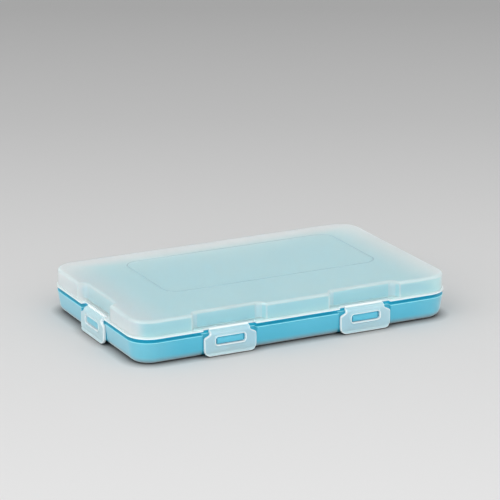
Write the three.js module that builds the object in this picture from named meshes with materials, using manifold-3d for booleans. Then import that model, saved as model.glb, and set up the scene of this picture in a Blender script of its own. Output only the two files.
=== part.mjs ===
// Flat battery case, in millimetres, +Z up. X runs along the long side and -Y is the front.
// The origin is under the middle of the case, on the surface that it stands on.
// A tub with a raised sealing lip holds two cell trays. The lid turns on two pinned hinges at
// the back. It carries the seal ring in a groove and three locking flaps on film hinges, which
// hook over tabs on the tub.

import * as THREE from "three";
import { mergeVertices } from "three/addons/utils/BufferGeometryUtils.js";
import Module from "manifold-3d";

const wasm = await Module();
wasm.setup();

// The cells that the case is sized around
const cell_diameter = 14.5;
const cell_length = 50.5;
const cells_in_a_row = 12;
const cell_spacing_clearance = 0.1;

// Margins from the cells to the tub and the lid
const row_end_margin = 3.75;
const row_side_margin = 3.05;
const cell_headroom = 6.25;

// Tub
const tub_floor_thickness = 1.8;
const ledge_height = 12.8;
const ledge_setback = 0.25;
const ledge_edge_round = 0.4;
const foot_setback = 1.5;
const foot_radius = 5.1;
const lip_setback = 3.75;
const lip_thickness = 1.4;
const lip_height = 1.4;
const bay_draft = 0.2;
const bay_floor_chamfer = 1.5;

// Lid
const seam_gap = 2;
const rim_thickness = 1.5;
const rim_corner_radius = 13.1;
const rim_lower_round = 0.2;
const rim_upper_round = 0.35;
const lid_wall_setback = 0.55;
const lid_wall_draft = 0.1;
const lid_wall_thickness = 1.65;
const lid_top_thickness = 1.6;
const lid_edge_radius = 1.55;
const lid_inner_radius = 1.2;

// Panel line cut into the lid's top
const panel_length = 130.9;
const panel_width = 61.6;
const panel_radius = 8;
const panel_line_width = 0.9;
const panel_line_depth = 0.35;
const panel_shift_along = 6.85;
const panel_shift_back = 12.2;

// Seal ring and its groove in the lid
const seal_width = 1.9;
const seal_height = 1.1;
const seal_side_clearance = 0.15;
const groove_inner_wall = 0.75;

// Locking flaps
const flap_spacing = 82.7;
const side_flap_shift = 1.3;
const flap_width = 31;
const flap_hinge_width = 23.7;
const flap_thickness = 1.6;
const flap_stand_out = 0.5;
const flap_floor_clearance = 0.4;
const flap_corner_radius = 3.7;
const flap_shoulder_start = 1.6;
const flap_shoulder_drop = 3.1;
const flap_crown_drop = 2.6;
const flap_head_height = 0.85;
const flap_head_depth = 1.3;
const flap_tip_bevel = 0.5;
const finger_lip_height = 1.7;
const finger_lip_bevel = 0.9;
const finger_lip_stand_out = 0.45;
const slot_frame_width = 1;
const slot_frame_stand_out = 0.3;
const slot_corner_radius = 1.4;

// Film hinge between rim and flap
const film_thickness = 0.45;
const film_inner_radius = 0.35;
const film_side_margin = 0.3;
const film_height_on_rim = 0.2;
const film_to_knuckle = 0.25;

// Tabs on the tub, which the flaps hook over
const tab_width = 15.6;
const tab_height = 3.65;
const tab_below_ledge = 2.35;
const tab_short_of_flap = 0.4;
const tab_end_clearance = 1.05;
const tab_edge_clearance = 0.45;
const tab_lead_in = 1.1;
const tab_lead_in_drop = 1.3;
const tab_root = 1;

// Recesses that the flaps lie in
const notch_depth = 2.95;
const notch_side_clearance = 0.35;
const recess_side_clearance = 0.5;
const recess_back_clearance = 0.5;
const recess_slope_rise = 1.9;
const pocket_depth = 5.2;
const pocket_side_margin = 4;
const pocket_side_flare_share = 0.56;
const pocket_corner_radius = 4;
const pocket_wall_thickness = 1;
const pocket_edge_radius = 1.2;

// Cell trays
const tray_plate_thickness = 1;
const tray_setback = 6.95;
const tray_middle_gap = 0.15;
const tray_divider_thickness = 0.55;
const tray_ridge_height = 2.4;
const tray_end_ridge = 1.2;
const tray_stop_thickness = 1;
const tray_stop_clearance = 0.2;
const cradle_clearance = 0.05;

// Back hinges, with a knuckle of the lid between two of the tub on each pin
const hinge_spacing = 104;
const hinge_barrel_radius = 2.2;
const hinge_barrel_clearance = 0.35;
const lid_knuckle_length = 13;
const tub_knuckle_length = 7;
const knuckle_gap = 0.35;
const pin_radius = 0.75;
const pin_end_inset = 0.4;
const tub_bore_clearance = 0.05;
const lid_bore_clearance = 0.15;

// Facets and the overrun of cutting tools
const corner_steps = 8;
const edge_steps = 3;
const foot_steps = 5;
const curve_steps = 6;
const barrel_steps = 24;
const cradle_steps = 48;
const overrun = 1;
const weld_depth = 0.4;

// Sizes that follow from the values above
const cell_pitch = cell_diameter + cell_spacing_clearance;
const cell_row_length = cells_in_a_row * cell_pitch;
const lip_inner_setback = lip_setback + lip_thickness;
const case_length = cell_row_length + 2 * (row_end_margin + lip_inner_setback);
const tray_divider_edge = tray_middle_gap + tray_divider_thickness;
const case_width = 2 * (tray_divider_edge + cell_length + row_side_margin + lip_inner_setback);
const tray_top = tub_floor_thickness + tray_plate_thickness;
const ridge_top = tray_top + tray_ridge_height;
const cradle_radius = cell_diameter / 2 + cradle_clearance;
const lid_ceiling = tray_top + cell_diameter + cell_headroom;
const case_height = lid_ceiling + lid_top_thickness;
const lip_top = ledge_height + lip_height;
const rim_bottom = ledge_height + seam_gap;
const rim_top = rim_bottom + rim_thickness;
const seal_middle_setback = lip_setback + lip_thickness / 2;
const seal_outer_setback = seal_middle_setback - seal_width / 2;
const seal_inner_setback = seal_middle_setback + seal_width / 2;
const groove_top = lip_top + seal_height;
const groove_outer_setback = seal_outer_setback - seal_side_clearance;
const groove_inner_setback = seal_inner_setback + seal_side_clearance;
const shelf_setback = groove_inner_setback + groove_inner_wall;
const film_bottom = rim_bottom + film_height_on_rim - film_inner_radius;
const flap_inner_face = flap_stand_out - flap_thickness;
const slot_width = tab_width + 2 * tab_end_clearance;
const slot_height = tab_height + 2 * tab_edge_clearance;
const tab_top = ledge_height - tab_below_ledge;
const tab_bottom = tab_top - tab_height;
const slot_bottom = tab_bottom - tab_edge_clearance;
const recess_back = flap_inner_face - recess_back_clearance;
const pocket_half_width = flap_width / 2 + pocket_side_margin;
const notch_half_width = flap_width / 2 + notch_side_clearance;
const recess_half_width = flap_width / 2 + recess_side_clearance;
const hinge_axis_back = case_width / 2 + hinge_barrel_clearance + hinge_barrel_radius;
const hinge_axis_height = ledge_height + seam_gap / 2;
const hinge_reach = lid_knuckle_length / 2 + knuckle_gap + tub_knuckle_length;
const hinge_middles = [-hinge_spacing / 2, hinge_spacing / 2];

// Where the three flaps sit: the side's turn about Z, the place along it, and its distance out
const quarter_turn = Math.PI / 2;
const stations = [
  { name: "front_left", turn: 0, along: -flap_spacing / 2, out: case_width / 2 },
  { name: "front_right", turn: 0, along: flap_spacing / 2, out: case_width / 2 },
  { name: "side_left", turn: -quarter_turn, along: side_flap_shift, out: case_length / 2 },
];

// Solids: three.js geometry in, manifold solid out, and back
function solidOf(geometry) {
  const bare = geometry.clone();
  bare.deleteAttribute("normal");
  bare.deleteAttribute("uv");
  const merged = mergeVertices(bare);
  const mesh = new wasm.Mesh({
    numProp: 3,
    vertProperties: new Float32Array(merged.attributes.position.array),
    triVerts: new Uint32Array(merged.index.array),
  });
  return new wasm.Manifold(mesh);
}

function geometryOf(solid) {
  const mesh = solid.getMesh();
  const geometry = new THREE.BufferGeometry();
  const positions = new THREE.BufferAttribute(new Float32Array(mesh.vertProperties), 3);
  geometry.setAttribute("position", positions);
  geometry.setIndex(new THREE.BufferAttribute(new Uint32Array(mesh.triVerts), 1));
  geometry.computeVertexNormals();
  return geometry;
}

function boxSolid(low, high) {
  const size = high.map((value, axis) => value - low[axis]);
  const middle = high.map((value, axis) => (value + low[axis]) / 2);
  const geometry = new THREE.BoxGeometry(size[0], size[1], size[2]);
  geometry.translate(middle[0], middle[1], middle[2]);
  return solidOf(geometry);
}

// A rounded rectangle about the origin, anticlockwise seen from above
function roundedOutline(half_x, half_y, radius) {
  const points = [];
  for (let corner = 0; corner < 4; corner += 1) {
    const side_x = corner === 0 || corner === 3 ? 1 : -1;
    const side_y = corner < 2 ? 1 : -1;
    for (let step = 0; step <= corner_steps; step += 1) {
      const angle = (corner + step / corner_steps) * quarter_turn;
      const x = side_x * (half_x - radius) + radius * Math.cos(angle);
      const y = side_y * (half_y - radius) + radius * Math.sin(angle);
      points.push([x, y]);
    }
  }
  return points;
}

// A ring of the case's plan, set in from the rim's outline
function caseOutline(setback) {
  return roundedOutline(case_length / 2 - setback, case_width / 2 - setback, rim_corner_radius - setback);
}

function panelOutline(setback) {
  return roundedOutline(panel_length / 2 - setback, panel_width / 2 - setback, panel_radius - setback);
}

// Stretches a skin over outlines at given setbacks and heights. A capped skin starts with a
// face that looks down and ends with one that looks up, and an uncapped one closes on itself.
function loft(outline, sections, capped) {
  const rings = sections.map(([setback]) => outline(setback));
  const count = rings[0].length;
  const positions = [];
  rings.forEach((ring, level) => {
    ring.forEach(([x, y]) => positions.push(x, y, sections[level][1]));
  });
  const faces = [];
  const levels = capped ? rings.length - 1 : rings.length;
  for (let level = 0; level < levels; level += 1) {
    const lower = level * count;
    const upper = ((level + 1) % rings.length) * count;
    for (let point = 0; point < count; point += 1) {
      const next = (point + 1) % count;
      faces.push(lower + point, lower + next, upper + next);
      faces.push(lower + point, upper + next, upper + point);
    }
  }
  if (capped) {
    const top = (rings.length - 1) * count;
    for (let point = 1; point < count - 1; point += 1) {
      faces.push(0, point + 1, point);
      faces.push(top, top + point, top + point + 1);
    }
  }
  const geometry = new THREE.BufferGeometry();
  geometry.setAttribute("position", new THREE.Float32BufferAttribute(positions, 3));
  geometry.setIndex(faces);
  return solidOf(geometry);
}

// Points of a round edge in a section, from one angle to another, as [setback, height]
function roundEdge(middle_setback, middle_height, radius, from, to, steps) {
  const points = [];
  for (let step = 0; step <= steps; step += 1) {
    const angle = from + ((to - from) * step) / steps;
    const setback = middle_setback - radius * Math.cos(angle);
    points.push([setback, middle_height + radius * Math.sin(angle)]);
  }
  return points;
}

// A bar whose section is drawn as [outward, height] and which runs along the side
function sideBar(section, half_width) {
  const shape = new THREE.Shape(section.map(([outward, height]) => new THREE.Vector2(outward, height)));
  const geometry = new THREE.ExtrudeGeometry(shape, { depth: 2 * half_width, bevelEnabled: false });
  geometry.translate(0, 0, -half_width);
  geometry.rotateX(quarter_turn);
  geometry.rotateZ(-quarter_turn);
  return solidOf(geometry);
}

// A plate whose outline is drawn as [along, height], between two distances outward
function frontPlate(shape, from, to) {
  const depth = to - from;
  const geometry = new THREE.ExtrudeGeometry(shape, {
    depth,
    bevelEnabled: false,
    curveSegments: curve_steps,
  });
  geometry.rotateX(quarter_turn);
  geometry.translate(0, -from, 0);
  return solidOf(geometry);
}

function sideBox(half_width, from, to, bottom, top) {
  return boxSolid([-half_width, -to, bottom], [half_width, -from, top]);
}

function atStation(solid, station) {
  const degrees = THREE.MathUtils.radToDeg(station.turn);
  return solid.translate([station.along, -station.out, 0]).rotate([0, 0, degrees]);
}

// A round bar on the axis of the back hinges
function hingeBar(radius, from, to) {
  const geometry = new THREE.CylinderGeometry(radius, radius, to - from, barrel_steps);
  geometry.rotateZ(quarter_turn);
  geometry.translate((from + to) / 2, hinge_axis_back, hinge_axis_height);
  return solidOf(geometry);
}

// A barrel with the web that joins it to the rim or to the tub
function knuckle(from, to, web_bottom, web_top) {
  const root = case_width / 2 - ledge_setback - weld_depth;
  const web = boxSolid([from, root, web_bottom], [to, hinge_axis_back, web_top]);
  return web.add(hingeBar(hinge_barrel_radius, from, to));
}

// Tub: floor, wall, ledge and lip, with three recesses, the tabs in them and the hinge knuckles
function tubSkin() {
  const foot = roundEdge(
    foot_setback + foot_radius, foot_radius, foot_radius, -quarter_turn, 0, foot_steps);
  return loft(caseOutline, [
    ...foot,
    [ledge_setback, ledge_height - ledge_edge_round],
    [ledge_setback + ledge_edge_round, ledge_height],
    [lip_setback, ledge_height],
    [lip_setback, lip_top],
    [lip_inner_setback, lip_top],
    [lip_inner_setback + bay_draft, tub_floor_thickness + bay_floor_chamfer],
    [lip_inner_setback + bay_draft + bay_floor_chamfer, tub_floor_thickness],
  ], true);
}

function flapRecess() {
  const slope_foot = ledge_height - recess_slope_rise;
  return sideBar([
    [-lip_setback, ledge_height + overrun],
    [-lip_setback, ledge_height],
    [recess_back, slope_foot],
    [recess_back, -overrun],
    [overrun, -overrun],
    [overrun, ledge_height + overrun],
  ], recess_half_width);
}

function lockingTab() {
  const tip = flap_stand_out - tab_short_of_flap;
  return sideBar([
    [recess_back - tab_root, tab_bottom],
    [tip - tab_edge_clearance, tab_bottom],
    [tip, tab_bottom + tab_edge_clearance],
    [tip, tab_top - tab_lead_in_drop],
    [tip - tab_lead_in, tab_top],
    [recess_back - tab_root, tab_top],
  ], tab_width / 2);
}

function baseShell() {
  let solid = tubSkin();
  for (const station of stations) {
    solid = solid.subtract(atStation(flapRecess(), station));
    solid = solid.add(atStation(lockingTab(), station));
  }
  const bore = pin_radius + tub_bore_clearance;
  const web_bottom = hinge_axis_height - hinge_barrel_radius;
  for (const middle of hinge_middles) {
    for (const from of [middle - hinge_reach, middle + hinge_reach - tub_knuckle_length]) {
      const to = from + tub_knuckle_length;
      solid = solid.add(knuckle(from, to, web_bottom, ledge_height));
      solid = solid.subtract(hingeBar(bore, from - overrun, to + overrun));
    }
  }
  return solid;
}

// Lid: top, wall, rim with the seal's groove, and the pockets and notches above the flaps
function lidSkin() {
  const inner_setback = lid_wall_setback + lid_wall_thickness;
  const upper_setback = lid_wall_setback + lid_wall_draft;
  const inner_edge = roundEdge(
    inner_setback + lid_inner_radius, lid_ceiling - lid_inner_radius, lid_inner_radius,
    quarter_turn, 0, edge_steps);
  const outer_edge = roundEdge(
    upper_setback + lid_edge_radius, case_height - lid_edge_radius, lid_edge_radius,
    0, quarter_turn, edge_steps);
  return loft(caseOutline, [
    ...inner_edge,
    [inner_setback, rim_top],
    [shelf_setback, rim_top],
    [shelf_setback, rim_bottom],
    [groove_inner_setback, rim_bottom],
    [groove_inner_setback, groove_top],
    [groove_outer_setback, groove_top],
    [groove_outer_setback, rim_bottom],
    [rim_lower_round, rim_bottom],
    [0, rim_bottom + rim_lower_round],
    [0, rim_top - rim_upper_round],
    [rim_upper_round, rim_top],
    [lid_wall_setback, rim_top],
    ...outer_edge,
  ], true);
}

// A pocket's plan, grown by a margin, whose sides open outward and whose back corners are round
function pocketPlan(margin) {
  const slant = Math.atan(pocket_side_flare_share);
  const radius = pocket_corner_radius + margin;
  const back = -pocket_depth - margin;
  const middle_out = back + radius;
  const back_corner = pocket_half_width - pocket_corner_radius * Math.tan((quarter_turn - slant) / 2);
  const front = overrun;
  const right = [];
  for (let step = 0; step <= edge_steps; step += 1) {
    const angle = (step / edge_steps) * (quarter_turn - slant);
    const along = back_corner + radius * Math.sin(angle);
    right.push([along, middle_out - radius * Math.cos(angle)]);
  }
  const [last_along, last_out] = right[right.length - 1];
  right.push([last_along + (front - last_out) * pocket_side_flare_share, front]);
  const left = right.map(([along, outward]) => [-along, outward]).reverse();
  return [...right, ...left].map(([along, outward]) => [along, -outward]).reverse();
}

// Walls of a pocket, added before the pocket is cut out
function pocketBlock() {
  const walls = loft(pocketPlan, [
    [pocket_wall_thickness, rim_top - weld_depth],
    [pocket_wall_thickness, lid_ceiling + weld_depth],
  ], true);
  const reach = 2 * pocket_half_width;
  return walls.intersect(
    sideBox(reach, -reach, -lid_wall_setback - weld_depth, rim_bottom, case_height));
}

// Room above the rim, whose back and side walls round over into the lid's top
function pocketCut() {
  const radius = pocket_edge_radius;
  const edge = roundEdge(radius, case_height - radius, radius, 0, quarter_turn, edge_steps);
  const pocket = loft(pocketPlan, [
    [0, rim_top],
    ...edge,
    [radius, case_height + overrun],
  ], true);
  const notch = sideBox(
    notch_half_width, -notch_depth, overrun, rim_bottom - overrun, rim_top + overrun);
  return pocket.add(notch);
}

function panelLine() {
  const line = loft(panelOutline, [
    [-panel_line_width / 2, case_height],
    [-panel_line_width / 2, case_height + overrun],
    [panel_line_width / 2, case_height + overrun],
    [panel_line_width / 2, case_height],
    [0, case_height - panel_line_depth],
  ], false);
  return line.translate([panel_shift_along, panel_shift_back, 0]);
}

function lidShell() {
  let solid = lidSkin();
  for (const station of stations) {
    solid = solid.add(atStation(pocketBlock(), station));
    solid = solid.subtract(atStation(pocketCut(), station));
  }
  const half = lid_knuckle_length / 2;
  const bore = pin_radius + lid_bore_clearance;
  const web_top = hinge_axis_height + hinge_barrel_radius;
  for (const middle of hinge_middles) {
    solid = solid.add(knuckle(middle - half, middle + half, rim_bottom, web_top));
    solid = solid.subtract(hingeBar(bore, middle - half - overrun, middle + half + overrun));
  }
  return solid.subtract(panelLine());
}

function sealRing() {
  return loft(caseOutline, [
    [seal_outer_setback, lip_top],
    [seal_outer_setback, groove_top],
    [seal_inner_setback, groove_top],
    [seal_inner_setback, lip_top],
  ], false);
}

// Locking flap, drawn for the front side with the rim's outline at y = 0
function flapSection() {
  const head_outer = -notch_depth + film_to_knuckle + flap_head_depth;
  const crown_foot = film_bottom - flap_crown_drop;
  const curve = new THREE.QuadraticBezierCurve(
    new THREE.Vector2(head_outer, film_bottom),
    new THREE.Vector2(flap_stand_out, film_bottom - flap_head_height),
    new THREE.Vector2(flap_stand_out, crown_foot));
  const crown = curve.getPoints(edge_steps).map((point) => [point.x, point.y]);
  const lip_face = flap_stand_out + finger_lip_stand_out;
  const head_inner = -notch_depth + film_to_knuckle;
  return [
    [head_inner, film_bottom],
    [head_inner, film_bottom - flap_head_height],
    [flap_inner_face, crown_foot],
    [flap_inner_face, flap_floor_clearance + flap_tip_bevel],
    [flap_inner_face + flap_tip_bevel, flap_floor_clearance],
    [lip_face, flap_floor_clearance],
    [lip_face, flap_floor_clearance + finger_lip_bevel],
    [flap_stand_out, flap_floor_clearance + finger_lip_height],
    ...crown.reverse(),
  ];
}

function flapOutline() {
  const half = flap_width / 2;
  const neck = flap_hinge_width / 2;
  const neck_foot = film_bottom - flap_shoulder_start;
  const shoulder_foot = neck_foot - flap_shoulder_drop;
  const shoulder_middle = (neck_foot + shoulder_foot) / 2;
  const bottom = flap_floor_clearance;
  const round_top = bottom + flap_corner_radius;
  const flat_end = half - flap_corner_radius;
  const shape = new THREE.Shape();
  shape.moveTo(-flat_end, bottom);
  shape.lineTo(flat_end, bottom);
  shape.absarc(flat_end, round_top, flap_corner_radius, -quarter_turn, 0, false);
  shape.lineTo(half, shoulder_foot);
  shape.bezierCurveTo(half, shoulder_middle, neck, shoulder_middle, neck, neck_foot);
  shape.lineTo(neck, film_bottom + overrun);
  shape.lineTo(-neck, film_bottom + overrun);
  shape.lineTo(-neck, neck_foot);
  shape.bezierCurveTo(-neck, shoulder_middle, -half, shoulder_middle, -half, shoulder_foot);
  shape.lineTo(-half, round_top);
  shape.absarc(-flat_end, round_top, flap_corner_radius, 2 * quarter_turn, 3 * quarter_turn, false);
  return shape;
}

function slotShape(margin) {
  const half = slot_width / 2 + margin;
  const radius = slot_corner_radius + margin;
  const bottom = slot_bottom - margin;
  const top = bottom + slot_height + 2 * margin;
  const shape = new THREE.Shape();
  shape.absarc(half - radius, bottom + radius, radius, -quarter_turn, 0, false);
  shape.absarc(half - radius, top - radius, radius, 0, quarter_turn, false);
  shape.absarc(radius - half, top - radius, radius, quarter_turn, 2 * quarter_turn, false);
  shape.absarc(radius - half, bottom + radius, radius, 2 * quarter_turn, 3 * quarter_turn, false);
  return shape;
}

function flap() {
  const reach = notch_depth + overrun;
  const bar = sideBar(flapSection(), flap_width / 2);
  const body = bar.intersect(frontPlate(flapOutline(), -reach, reach));
  const frame_face = flap_stand_out + slot_frame_stand_out;
  const frame = frontPlate(slotShape(slot_frame_width), flap_stand_out - weld_depth, frame_face);
  return body.add(frame).subtract(frontPlate(slotShape(0), -reach, reach));
}

// Film that bends from the rim's edge down to the flap's top
function hingeFilm() {
  const outer_radius = film_inner_radius + film_thickness;
  const section = [];
  for (let step = 0; step <= curve_steps; step += 1) {
    const angle = (step / curve_steps) * quarter_turn;
    const outward = outer_radius * Math.cos(angle) - notch_depth;
    section.push([outward, film_bottom + outer_radius * Math.sin(angle)]);
  }
  for (let step = curve_steps; step >= 0; step -= 1) {
    const angle = (step / curve_steps) * quarter_turn;
    const outward = film_inner_radius * Math.cos(angle) - notch_depth;
    section.push([outward, film_bottom + film_inner_radius * Math.sin(angle)]);
  }
  return sideBar(section, flap_hinge_width / 2 - film_side_margin);
}

// Pin of one hinge
function hingePin(middle) {
  const reach = hinge_reach - pin_end_inset;
  return hingeBar(pin_radius, middle - reach, middle + reach);
}

// Tray for one row of cells, drawn for the back row, with a round cradle for each cell
function cellTray() {
  const reach = cell_row_length / 2 + tray_end_ridge;
  const stop = tray_divider_edge + cell_length + tray_stop_clearance;
  const low = [-reach, tray_middle_gap, tub_floor_thickness];
  let tray = boxSolid(low, [reach, stop + tray_stop_thickness, ridge_top]);
  const cradle = new THREE.CylinderGeometry(
    cradle_radius, cradle_radius, stop - tray_divider_edge, cradle_steps);
  cradle.translate(0, (tray_divider_edge + stop) / 2, 0);
  const cradle_cut = solidOf(cradle);
  for (let place = 0; place < cells_in_a_row; place += 1) {
    const x = (place + 1 / 2) * cell_pitch - cell_row_length / 2;
    tray = tray.subtract(cradle_cut.translate([x, 0, tray_top + cradle_radius]));
  }
  const bay = loft(
    caseOutline, [[tray_setback, tub_floor_thickness], [tray_setback, ridge_top]], true);
  return tray.intersect(bay);
}

// Plastics
function plastic(colour, roughness) {
  return new THREE.MeshStandardMaterial({ color: colour, roughness, metalness: 0 });
}

const tub_plastic = plastic(0x55b4cd, 0.35);
const lid_plastic = plastic(0xc4dde3, 0.5);
const flap_plastic = plastic(0xd5e4e8, 0.45);
const tray_plastic = plastic(0x6fbfd2, 0.45);
const silicone = plastic(0xdfeaec, 0.7);
const steel = new THREE.MeshStandardMaterial({ color: 0xb9bec4, roughness: 0.3, metalness: 1 });

function piece(name, solid, material) {
  const mesh = new THREE.Mesh(geometryOf(solid), material);
  mesh.name = name;
  return mesh;
}

function placedPiece(name, solid, material, station) {
  const mesh = piece(name, solid, material);
  const place = new THREE.Vector3(station.along, -station.out, 0);
  place.applyAxisAngle(new THREE.Vector3(0, 0, 1), station.turn);
  mesh.position.copy(place);
  mesh.rotation.z = station.turn;
  return mesh;
}

const battery_case = new THREE.Group();

const tub_group = new THREE.Group();
tub_group.add(piece("base_shell", baseShell(), tub_plastic));
const back_tray = piece("cell_tray_back", cellTray(), tray_plastic);
const front_tray = piece("cell_tray_front", cellTray(), tray_plastic);
front_tray.rotation.z = 2 * quarter_turn;
tub_group.add(front_tray, back_tray);
tub_group.add(piece("hinge_pin_left", hingePin(hinge_middles[0]), steel));
tub_group.add(piece("hinge_pin_right", hingePin(hinge_middles[1]), steel));

const lid_group = new THREE.Group();
lid_group.add(piece("lid_shell", lidShell(), lid_plastic));
lid_group.add(piece("seal_ring", sealRing(), silicone));
for (const station of stations) {
  lid_group.add(placedPiece(`latch_${station.name}`, flap(), flap_plastic, station));
  lid_group.add(placedPiece(`latch_hinge_${station.name}`, hingeFilm(), flap_plastic, station));
}

battery_case.add(tub_group, lid_group);

export default battery_case;
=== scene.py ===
import math

import bmesh
import bpy
from mathutils import Matrix, Vector
from mathutils.geometry import tessellate_polygon


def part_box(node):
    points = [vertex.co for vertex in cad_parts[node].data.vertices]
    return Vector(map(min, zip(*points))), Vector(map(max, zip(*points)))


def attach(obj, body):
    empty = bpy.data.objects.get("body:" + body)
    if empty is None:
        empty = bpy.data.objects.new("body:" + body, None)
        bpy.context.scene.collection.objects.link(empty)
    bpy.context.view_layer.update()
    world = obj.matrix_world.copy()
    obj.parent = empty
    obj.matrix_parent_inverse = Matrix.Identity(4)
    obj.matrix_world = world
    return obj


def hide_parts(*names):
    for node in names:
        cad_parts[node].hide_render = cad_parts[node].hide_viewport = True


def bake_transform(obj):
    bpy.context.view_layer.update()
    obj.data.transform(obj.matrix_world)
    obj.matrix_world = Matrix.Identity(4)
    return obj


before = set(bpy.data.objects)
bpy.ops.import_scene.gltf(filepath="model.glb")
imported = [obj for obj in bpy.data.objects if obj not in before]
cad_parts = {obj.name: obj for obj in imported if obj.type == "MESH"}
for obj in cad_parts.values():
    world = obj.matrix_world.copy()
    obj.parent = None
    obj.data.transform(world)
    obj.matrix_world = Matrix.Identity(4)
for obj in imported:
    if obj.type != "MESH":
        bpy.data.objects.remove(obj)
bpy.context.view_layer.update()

# Lengths below are millimetres in the part's frame, and angles are degrees.
MM = 0.001
QUARTER_TURN = math.pi / 2

# Points closer than this are one point: in an outline, in a cap, and in a mesh, there in metres
NO_ROOM = 1e-6
SAME_POINT = 1e-4
MERGE_DISTANCE = 1e-7

# Camera, fitted to the photograph
CAMERA_PLACE = (-619.1, -1232.6, 456.6)
CAMERA_YAW = 26.681
CAMERA_PITCH = 16.943
CAMERA_ROLL = -0.088
PICTURE_SIZE = 500
FOCAL_PIXELS = 2578.9
SENSOR_WIDTH = 36

# Steps along round edges, and the points of one fillet
CORNER_STEPS = 24
FILLET_STEPS = 8
FILLET_POINTS = FILLET_STEPS + 1
EDGE_STEPS = 5
FOOT_STEPS = 14
BARREL_STEPS = 48

# Most of the shorter side that a fillet takes, least radius of the case's corners, and how far an
# outline's line runs past the middle of a flap
FILLET_SHARE = 0.49
LEAST_CORNER_RADIUS = 0.3
LINE_REACH = 60

# Shading: the angle that stays sharp, and how much the large faces' normals count
SHARP_ANGLE = 50
EVEN_WEIGHT = 100
BEVEL_ANGLE = 35
BEVEL_SEGMENTS = 2

# Tub
TUB_FLOOR = 1.8
LEDGE_DROP = 1.4
LEDGE_SETBACK = 0.25
LEDGE_ROUND = 0.4
# The lower share of the ledge's round has a painted highlight, and painted shade lies above it
LEDGE_HIGHLIGHT_SHARE = 0.85
FOOT_SETBACK = 1.5
FOOT_RADIUS = 5.1
LIP_SETBACK = 3.75
LIP_THICKNESS = 1.4
LIP_ROUND = 0.25
BAY_DRAFT = 0.2
BAY_FLOOR_RADIUS = 1.5
RECESS_HALF_WIDTH = 16
RECESS_BACK = 1.6
RECESS_SLOPE_RISE = 1.9
RECESS_FILLET = 0.7

# Tabs that the flaps hook over
TAB_HALF_WIDTH = 7.8
TAB_HEIGHT = 3.65
TAB_BELOW_LEDGE = 2.35
TAB_TIP = -0.1
TAB_FOOT_BEVEL = 0.45
TAB_LEAD_IN = 1.1
TAB_LEAD_IN_DROP = 1.3
TAB_FILLET = 0.5

# Lid
RIM_THICKNESS = 1.5
RIM_CORNER_RADIUS = 13.1
RIM_LOWER_ROUND = 0.2
RIM_UPPER_ROUND = 0.35
# The rim's lower part has a painted highlight up to this height
RIM_HIGHLIGHT_HEIGHT = 0.75
WALL_SETBACK = 0.55
WALL_DRAFT = 0.1
WALL_THICKNESS = 1.65
WALL_FOOT_RADIUS = 0.12
TOP_THICKNESS = 1.6
TOP_EDGE_RADIUS = 1.55
INNER_RADIUS = 1.2
GROOVE_OUTER = 3.35
GROOVE_INNER = 5.55
GROOVE_DEPTH = 0.5
SHELF_SETBACK = 6.3
NOTCH_HALF_WIDTH = 15.85
NOTCH_DEPTH = 2.95
NOTCH_FILLET = 0.35

# Pockets in the lid's wall above the flaps
POCKET_HALF_WIDTH = 19.5
POCKET_DEPTH = 5.2
POCKET_FLARE = 0.56
POCKET_BACK_RADIUS = 4
POCKET_FRONT_RADIUS = 1.1
POCKET_WALL = 1
POCKET_FOOT_RADIUS = 0.35
POCKET_EDGE_RADIUS = 1.2

# Panel line on the lid's top
PANEL_HALF_LENGTH = 65.45
PANEL_HALF_WIDTH = 30.8
PANEL_RADIUS = 8
PANEL_LINE_WIDTH = 0.9
PANEL_LINE_DEPTH = 0.35
PANEL_SHIFT = (6.85, 12.2)

# Seal ring
SEAL_OUTER = 3.5
SEAL_INNER = 5.4
SEAL_ROUND = 0.4

# Flaps
FLAP_HALF_WIDTH = 15.5
FLAP_NECK_HALF = 11.85
FLAP_THICKNESS = 1.6
FLAP_FACE = 0.5
FLAP_BOTTOM = 0.4
FLAP_TOP = 14.65
FLAP_GAP = 0.15
FLAP_CORNER = 3.7
FLAP_NECK_DROP = 1.6
FLAP_SHOULDER_DROP = 3.1
FLAP_CROWN_DROP = 2.6
FLAP_HEAD_HEIGHT = 0.85
FLAP_HEAD_INNER = -2.7
FLAP_HEAD_OUTER = -1.4
FLAP_EDGE = 0.45
FLAP_BACK_EDGE = 0.3
FINGER_LIP_FACE = 0.95
FINGER_LIP_FOOT = 1.3
FINGER_LIP_TOP = 2.1
SLOT_HALF_WIDTH = 8.85
SLOT_BOTTOM = 6.35
SLOT_TOP = 10.9
SLOT_RADIUS = 1.4
FRAME_WIDTH = 1
FRAME_HEIGHT = 0.3
FRAME_EDGE = 0.22
FRAME_FOOT = 0.08
SLOT_NECK_SHARE = 0.9
PLATE_RINGS = 22

# Points along the stretches of half a flap: bottom, corner, side, shoulder, neck and top
FLAP_STEPS = (16, 12, 8, 14, 5, 16)

# Film hinges
FILM_HALF_WIDTH = 11.55
FILM_INNER_RADIUS = 0.35
FILM_OUTER_RADIUS = 0.8
FILM_TUCK = 0.3
FILM_STEPS = 14
FILM_ACROSS_STEPS = 12

# Cell trays
TRAY_HALF_LENGTH = 88.8
TRAY_MIDDLE = 0.15
TRAY_END = 52.4
TRAY_SETBACK = 6.95
TRAY_TOP = 2.8
RIDGE_TOP = 5.2
CRADLE_START = 0.7
CRADLE_END = 51.4
CRADLE_RADIUS = 7.3
CELL_PITCH = 14.6
CELLS_IN_A_ROW = 12
CRADLE_STEPS = 14
TRAY_BEVEL = 0.3

# Back hinges
HINGE_MIDDLES = (-52, 52)
HINGE_AXIS = (61.95, 13.8)
BARREL_RADIUS = 2.2
LID_KNUCKLE_HALF = 6.5
TUB_KNUCKLE_START = 6.85
TUB_KNUCKLE_END = 13.85
PIN_RADIUS = 0.75
PIN_REACH = 13.45
TUB_BORE_RADIUS = 0.8
LID_BORE_RADIUS = 0.9
KNUCKLE_ROOT = 58.9
KNUCKLE_BEVEL = 0.3
PIN_BEVEL = 0.15

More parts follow.
